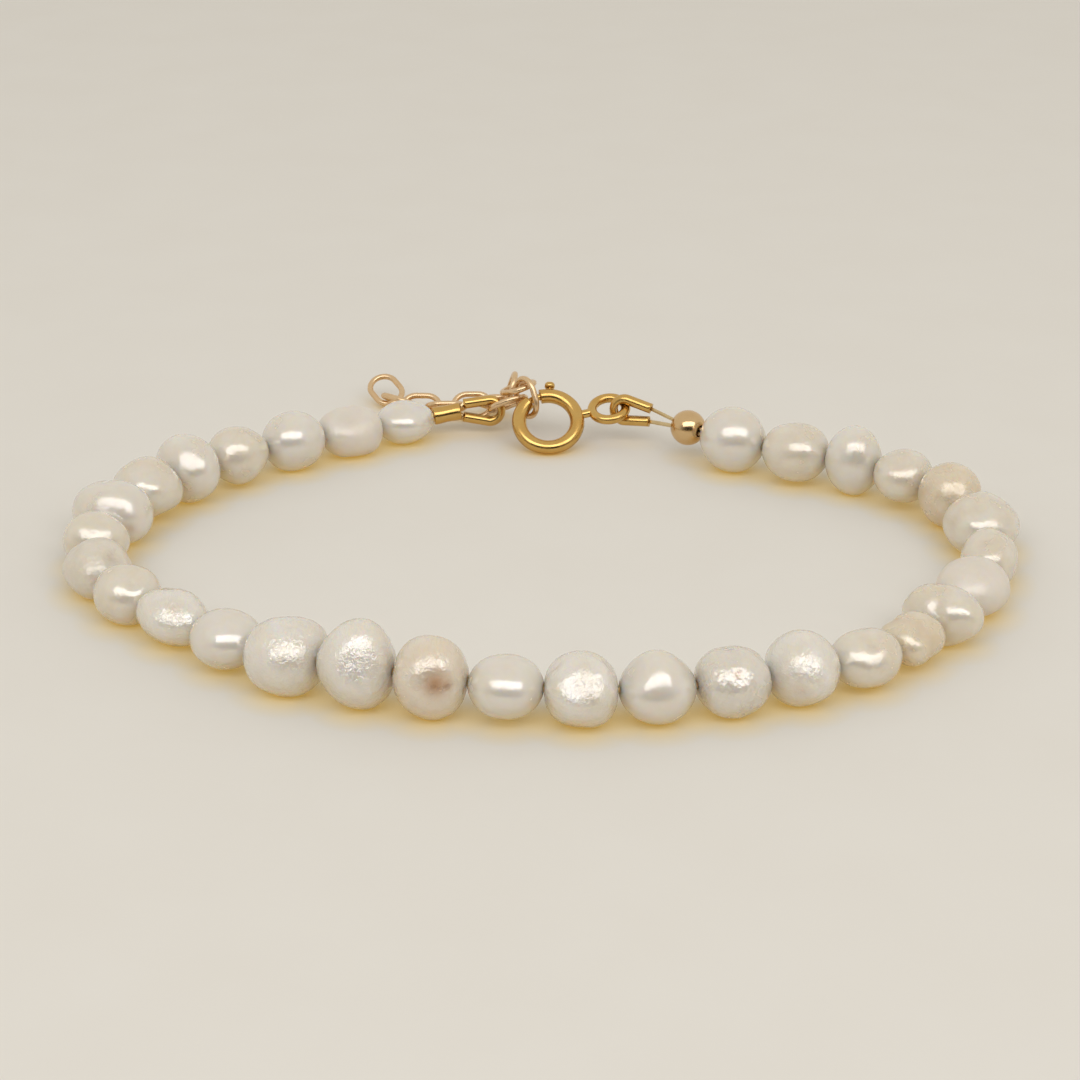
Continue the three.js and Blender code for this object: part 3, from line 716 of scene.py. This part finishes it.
def channel(points, normal, radius, wall, opening, outward=90.0):
    """Points and faces of a slit tube. opening gives the slit's half angle along the line, and
    outward is where the slit faces, in degrees from the normal."""
    points = np.asarray(points)
    steps = 22
    rows = []
    for i, point in enumerate(points):
        before, after = points[max(i - 1, 0)], points[min(i + 1, len(points) - 1)]
        tangent = unit(after - before)
        first = unit(normal - tangent * (normal @ tangent))
        second = np.cross(tangent, first)
        half = opening(i / (len(points) - 1))
        turn = np.radians(outward + half + (360 - 2 * half) * np.arange(steps + 1) / steps)
        spoke = np.outer(np.cos(turn), first) + np.outer(np.sin(turn), second)
        rows.append(np.concatenate([point + spoke * radius,
                                    point + spoke[::-1] * (radius - wall)]))
    rows = np.array(rows)
    across = rows.shape[1]
    faces = []
    for r in range(len(rows) - 1):
        for s in range(across):
            t = (s + 1) % across
            faces.append((r * across + s, r * across + t,
                          (r + 1) * across + t, (r + 1) * across + s))
    last = (len(rows) - 1) * across
    for s in range(steps):
        near, far = s, across - 1 - s
        faces.append((near, far, far - 1, near + 1))
        faces.append((last + near, last + near + 1, last + far - 1, last + far))
    return rows.reshape(-1, 3), faces


def outward_faces(obj):
    """Turns every face of a closed mesh to look outwards."""
    mesh = bmesh.new()
    mesh.from_mesh(obj.data)
    bmesh.ops.recalc_face_normals(mesh, faces=mesh.faces)
    mesh.to_mesh(obj.data)
    mesh.free()


GUARD_RADIUS = 0.43 * MM
GUARD_WALL = 0.13 * MM
GUARD_ARCH = 0.9 * MM
GUARD_LEG_END = 0.55 * MM
GUARD_LEG = 2.2 * MM
GUARD_SHUT, GUARD_OPEN = 8, 64  # the slit's half angle at the legs' ends and over the arch


def guard_opening(share):
    """The slit's half angle at a share of the way along a guard."""
    return GUARD_SHUT + (GUARD_OPEN - GUARD_SHUT) * math.sin(math.pi * share) ** 2


def guard_object(name, crimp_name):
    """A horseshoe guard over its frame node, with its legs towards the crimp."""
    corners = corners_of(name)
    middle, first, second, normal = main_axes(corners)
    if first @ (middle - corners_of(crimp_name).mean(0)) < 0:
        first = -first
    along = (corners - middle) @ first
    across = (corners - middle) @ second
    middle = middle + second * (across.max() + across.min()) / 2
    arch = middle + first * (along.max() - GUARD_RADIUS - GUARD_ARCH)
    leg_low = arch - first * GUARD_LEG - second * GUARD_LEG_END
    leg_high = arch - first * GUARD_LEG + second * GUARD_LEG_END
    bend = around(arch, first, second, GUARD_ARCH, -90, 90, 26)
    shares = np.linspace(0, 1, 9)[:-1, None]
    line = np.concatenate([
        leg_low + (bend[0] - leg_low) * shares, bend,
        (leg_high + (bend[-1] - leg_high) * shares)[::-1]])
    points, faces = channel(line, np.cross(first, second), GUARD_RADIUS, GUARD_WALL,
                            guard_opening, outward=-90.0)
    obj = mesh_object(f"fine_{name}", points, faces)
    outward_faces(obj)
    obj.data.materials.append(gold)
    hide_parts(name)
    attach(obj, "bracelet")
    return obj


guards = [guard_object("wire_guard_left", "crimp_tube"),
          guard_object("wire_guard_right", "crimp_cover")]
print("guards:", [guard.name for guard in guards])

# %% [markdown]
# ## The clasp's ring
#
# A spring ring is a hollow ring with a mouth. A curved bolt inside it closes the mouth, and a
# knob through a slit pulls the bolt back against a spring. The joint in the record gives the
# ring's middle and axis, and the soldered loop's place gives the direction that the angles are
# counted from.

# %% Clasp ring
joint = frame["joints"][0]
ring_centre = np.array(joint["pos_m"])
ring_normal = -unit(joint["axis"])
RING_RADIUS = 2.42 * MM
RING_TUBE = 0.6 * MM
RING_WALL = 0.2 * MM
# Angles in degrees round the ring, counted from its loop.
MOUTH_FROM, MOUTH_TO = 92, 118
KNOB_AT, KNOB_TRAVEL = 74, 31
SLIDE_SLIT, SHUT_SLIT = 28.0, 1.5  # the slit's half angle at the knob's slide and elsewhere
SLIDE_SPARE = 5
LOOP_RADIUS = 1.4 * MM
LOOP_WIRE = 0.4 * MM
LOOP_BEGINS = 3.9 * MM  # from the ring's middle
LOOP_OFFSET = 5.22 * MM
NECK_WIRE = 0.36 * MM
ring_corners = corners_of("clasp_ring")
from_centre = ring_corners - ring_centre
loop_corners = ring_corners[np.linalg.norm(from_centre, axis=1) > LOOP_BEGINS]
loop_middle, _, _, loop_normal = main_axes(loop_corners)
to_loop = loop_middle - ring_centre
ring_first = unit(to_loop - ring_normal * (to_loop @ ring_normal))
ring_second = np.cross(ring_normal, ring_first)
loop_centre = ring_centre + ring_first * LOOP_OFFSET


def slit_of_ring(share):
    """The ring's slit is shut but for the knob's slide."""
    angle = MOUTH_TO + (360 + MOUTH_FROM - MOUTH_TO) * share - 360
    in_slide = KNOB_AT - KNOB_TRAVEL - SLIDE_SPARE < angle < KNOB_AT + SLIDE_SPARE
    return SLIDE_SLIT if in_slide else SHUT_SLIT


ring_line = around(ring_centre, ring_first, ring_second, RING_RADIUS,
                   MOUTH_TO, 360 + MOUTH_FROM, 150)
points, faces = channel(ring_line, ring_normal, RING_TUBE, RING_WALL, slit_of_ring)
ring = mesh_object("fine_clasp_ring", points, faces)
outward_faces(ring)
ring.data.materials.append(gold)

loop_second = unit(np.cross(loop_normal, ring_first))
loop_line = around(loop_centre, ring_first, loop_second, LOOP_RADIUS, 0, 360, 48)[:-1]
loop = wire_object("clasp_loop", loop_line, LOOP_WIRE, True, gold)
neck_from = ring_centre + ring_first * (RING_RADIUS + 0.4 * MM)
neck_to = loop_centre - ring_first * (LOOP_RADIUS - 0.1 * MM)
neck = wire_object("clasp_neck", [neck_from, (neck_from + neck_to) / 2, neck_to],
                   NECK_WIRE, False, gold)


def join(name, parts):
    """Several objects become one, in the first one's place."""
    mesh = bmesh.new()
    for part in parts:
        mesh.from_mesh(part.data)
    first = parts[0]
    mesh.to_mesh(first.data)
    mesh.free()
    for part in parts[1:]:
        bpy.data.objects.remove(part)
    first.name = name
    return first


ring = join("fine_clasp_ring", [ring, loop, neck])
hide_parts("clasp_ring")
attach(ring, "bracelet")

# %% [markdown]
# ## The clasp's trigger
#
# The bolt is wire bent to the ring's curve. Its stem comes out through the slit and carries a
# small round knob. All of it rides on the trigger's own body, so it slides when the joint moves.

# %% Clasp trigger
BOLT_RADIUS = 0.28 * MM
BOLT_FROM, BOLT_TO = 36, 121
STEM_RADIUS = 0.17 * MM
bolt_line = around(ring_centre, ring_first, ring_second, RING_RADIUS, BOLT_FROM, BOLT_TO, 40)
bolt = wire_object("fine_clasp_trigger", bolt_line, BOLT_RADIUS, False, gold)
knob_way = math.radians(KNOB_AT)
knob_axis = math.cos(knob_way) * ring_first + math.sin(knob_way) * ring_second


def turned(name, centre, axis, profile, steps, material, closed=False):
    """A piece turned round an axis from (station, radius) pairs. Closed joins the last pair to
    the first, for a piece with a hole through it."""
    helper = (0, 0, 1) if abs(axis[2]) < 0.9 else (1, 0, 0)
    side = unit(np.cross(helper, axis))
    above = np.cross(axis, side)
    turns = np.arange(steps) * 2 * np.pi / steps
    spoke = np.outer(np.cos(turns), side) + np.outer(np.sin(turns), above)
    rows = [centre + axis * station + spoke * radius for station, radius in profile]
    faces = ring_faces(len(rows), steps)
    if closed:
        last = (len(rows) - 1) * steps
        for s in range(steps):
            t = (s + 1) % steps
            faces.append((last + s, s, t, last + t))
    else:
        faces.append(tuple(range(steps)))
        faces.append(tuple((len(rows) - 1) * steps + s for s in range(steps))[::-1])
    obj = mesh_object(name, np.concatenate(rows), faces)
    outward_faces(obj)
    obj.data.materials.append(material)
    return obj


KNOB_FOOT = RING_RADIUS + RING_TUBE + 0.12 * MM
stem = wire_object("clasp_stem", [
    ring_centre + knob_axis * RING_RADIUS, ring_centre + knob_axis * (KNOB_FOOT + 0.1 * MM)],
    STEM_RADIUS, False, gold)
knob = turned("clasp_knob", ring_centre + knob_axis * KNOB_FOOT, knob_axis, [
    (0.0, 0.30 * MM), (0.04 * MM, 0.38 * MM), (0.12 * MM, 0.42 * MM), (0.34 * MM, 0.42 * MM),
    (0.44 * MM, 0.37 * MM), (0.5 * MM, 0.26 * MM)], 32, gold)
trigger = join("fine_clasp_trigger", [bolt, stem, knob])
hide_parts("clasp_trigger")
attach(trigger, "trigger")

# %% [markdown]
# ## Crimps
#
# The crimp tube is a short soft tube squeezed on the wire, so its ends are rounded and its waist
# is a little thinner. The crimp cover is a hollow bead closed round the right-hand crimp, so it
# is a ball with a hole at each end.

# %% Crimps


def axis_of_turned(name):
    """The middle and axis of a drilled ball or tube, from the rims of its hole."""
    corners = corners_of(name)
    middle = (corners.min(0) + corners.max(0)) / 2
    reach = np.linalg.norm(corners - middle, axis=1)
    rims = corners[reach < reach.min() + 0.02 * MM] if name == "crimp_cover" else corners
    _, axis, _, _ = main_axes(rims)
    return corners.mean(0), axis


BALL_RADIUS = 1.45 * MM
BALL_HOLE = 0.56 * MM
ball_middle, ball_axis = axis_of_turned("crimp_cover")
rim = math.asin(BALL_HOLE / BALL_RADIUS)
BALL_STEPS = 40
ball_profile = [(-0.7 * MM, BALL_HOLE - 0.12 * MM), (-1.2 * MM, BALL_HOLE - 0.08 * MM)]
for k in range(BALL_STEPS + 1):
    angle = rim + (math.pi - 2 * rim) * k / BALL_STEPS
    ball_profile.append((-BALL_RADIUS * math.cos(angle), BALL_RADIUS * math.sin(angle)))
ball_profile += [(1.2 * MM, BALL_HOLE - 0.08 * MM), (0.7 * MM, BALL_HOLE - 0.12 * MM)]
ball = turned("fine_crimp_cover", ball_middle, ball_axis, ball_profile, 64, ball_gold,
              closed=True)
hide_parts("crimp_cover")

CRIMP_HALF = 1.15 * MM
CRIMP_RADIUS = 0.75 * MM
CRIMP_HOLE = 0.5 * MM
crimp_middle, crimp_axis = axis_of_turned("crimp_tube")
crimp_profile = [(-CRIMP_HALF, CRIMP_HOLE)]
for station, radius in (
    (-1.0, 0.90), (-0.97, 0.97), (-0.90, 1.0), (-0.6, 0.99), (-0.3, 0.95), (0.0, 0.93),
    (0.3, 0.95), (0.6, 0.99), (0.90, 1.0), (0.97, 0.97), (1.0, 0.90),
):
    crimp_profile.append((station * CRIMP_HALF, radius * CRIMP_RADIUS))
crimp_profile.append((CRIMP_HALF, CRIMP_HOLE))
crimp = turned("fine_crimp_tube", crimp_middle, crimp_axis, crimp_profile, 48, gold,
               closed=True)
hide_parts("crimp_tube")
for piece in (ball, crimp):
    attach(piece, "bracelet")

# %% [markdown]
# ## Bead wire
#
# The frame's own wire is round and fine enough as it is, so it stays and only gets its material.

# %% Bead wire
wire_node = nodes["bead_wire"]
wire_node.material_slots[0].material = wire_gold
print("bead wire slots:", len(wire_node.material_slots))

# %% [markdown]
# ## Table
#
# The table is plain and pale, with hardly any texture. Real pearls let warm light through to the
# table round their feet. These pearls stop light, so that light is painted onto the table: an
# ambient occlusion node finds where something stands close over the table, and there the table's
# colour is painted warmer and it gives off a little golden light of its own, as painted light.

# %% Table
NEAR_TABLE = 2.2 * MM  # how near something has to stand to colour the table
GLOW = 0.40
TABLE_HALF = 2.0
table_material = bpy.data.materials.new("table")
table_material.use_nodes = True
tree = table_material.node_tree
tree.nodes.clear()
place = add_node(tree, "ShaderNodeTexCoord").outputs["Object"]
grain = add_node(tree, "ShaderNodeTexNoise", {
    "Vector": place, "Scale": 1 / (9 * MM), "Detail": 4.0})
tone = add_node(tree, "ShaderNodeMix", {
    "Factor": grain.outputs["Fac"], 6: linear("#e1ded6"), 7: linear("#dedad1")},
    data_type="RGBA")
open_sky = add_node(tree, "ShaderNodeAmbientOcclusion", {"Distance": NEAR_TABLE}, samples=12)
shut_in = add_math(tree, "SUBTRACT", 1.0, open_sky.outputs["AO"])
deep_in = add_math(tree, "POWER", shut_in, 1.6)
through = add_math(tree, "MULTIPLY", deep_in, GLOW)
# Painted warm light: the table's colour turns golden where something stands close over it.
painted_warm_light = add_node(tree, "ShaderNodeMix", {
    "Factor": shut_in, 6: tone.outputs[2], 7: linear("#dac68f")}, data_type="RGBA")
# Painted glow: there the table also gives off golden light, though it is no lamp.
board = add_node(tree, "ShaderNodeBsdfPrincipled", {
    "Base Color": painted_warm_light.outputs[2], "Roughness": 0.65, "Specular IOR Level": 0.3,
    "Emission Color": linear("#e2bb62"), "Emission Strength": through})
add_node(tree, "ShaderNodeOutputMaterial", {"Surface": board.outputs["BSDF"]})
corner_signs = ((-1, -1), (1, -1), (1, 1), (-1, 1))
table_corners = [(x * TABLE_HALF, y * TABLE_HALF, 0) for x, y in corner_signs]
table = mesh_object("table", table_corners, [(0, 1, 2, 3)], smooth=False)
table.data.materials.append(table_material)

# %% [markdown]
# ## Light
#
# One wide soft box hangs in front, halfway up. Its mirror image is the long bright patch on each
# pearl. The room is bright all round but for a dark part behind the camera, and its mirror image
# is the grey band under each bright patch.

# %% Light
LAMP_RISE = math.radians(48)
LAMP_AWAY = 0.75
lamp_data = bpy.data.lights.new("soft_box", "AREA")
lamp_data.shape = "RECTANGLE"
lamp_data.size = 1.2
lamp_data.size_y = 0.40
lamp_data.energy = 3.5
lamp_data.color = linear("#fbfbff")[:3]
lamp = bpy.data.objects.new("soft_box", lamp_data)
scene.collection.objects.link(lamp)
towards_lamp = Vector((0.03, -math.cos(LAMP_RISE), math.sin(LAMP_RISE)))
lamp.location = CAMERA_TARGET + LAMP_AWAY * towards_lamp
aim = (CAMERA_TARGET - lamp.location).normalized()
lamp.rotation_euler = aim.to_track_quat("-Z", "Y").to_euler()

world = bpy.data.worlds.new("room")
scene.world = world
world.use_nodes = True
tree = world.node_tree
tree.nodes.clear()
look = add_node(tree, "ShaderNodeTexCoord").outputs["Generated"]
facing = add_node(tree, "ShaderNodeSeparateXYZ", {0: look})
rise = add_node(tree, "ShaderNodeMapRange", {
    "Value": facing.outputs["Y"], "From Min": -0.92, "From Max": -0.35})
room = add_node(tree, "ShaderNodeMix", {
    "Factor": rise.outputs["Result"], 6: linear("#1e1b17"), 7: linear("#cdc9c2")},
    data_type="RGBA")
glow = add_node(tree, "ShaderNodeBackground", {"Color": room.outputs[2], "Strength": 1.2})
add_node(tree, "ShaderNodeOutputWorld", {"Surface": glow.outputs["Background"]})
scene.view_settings.view_transform = "Standard"
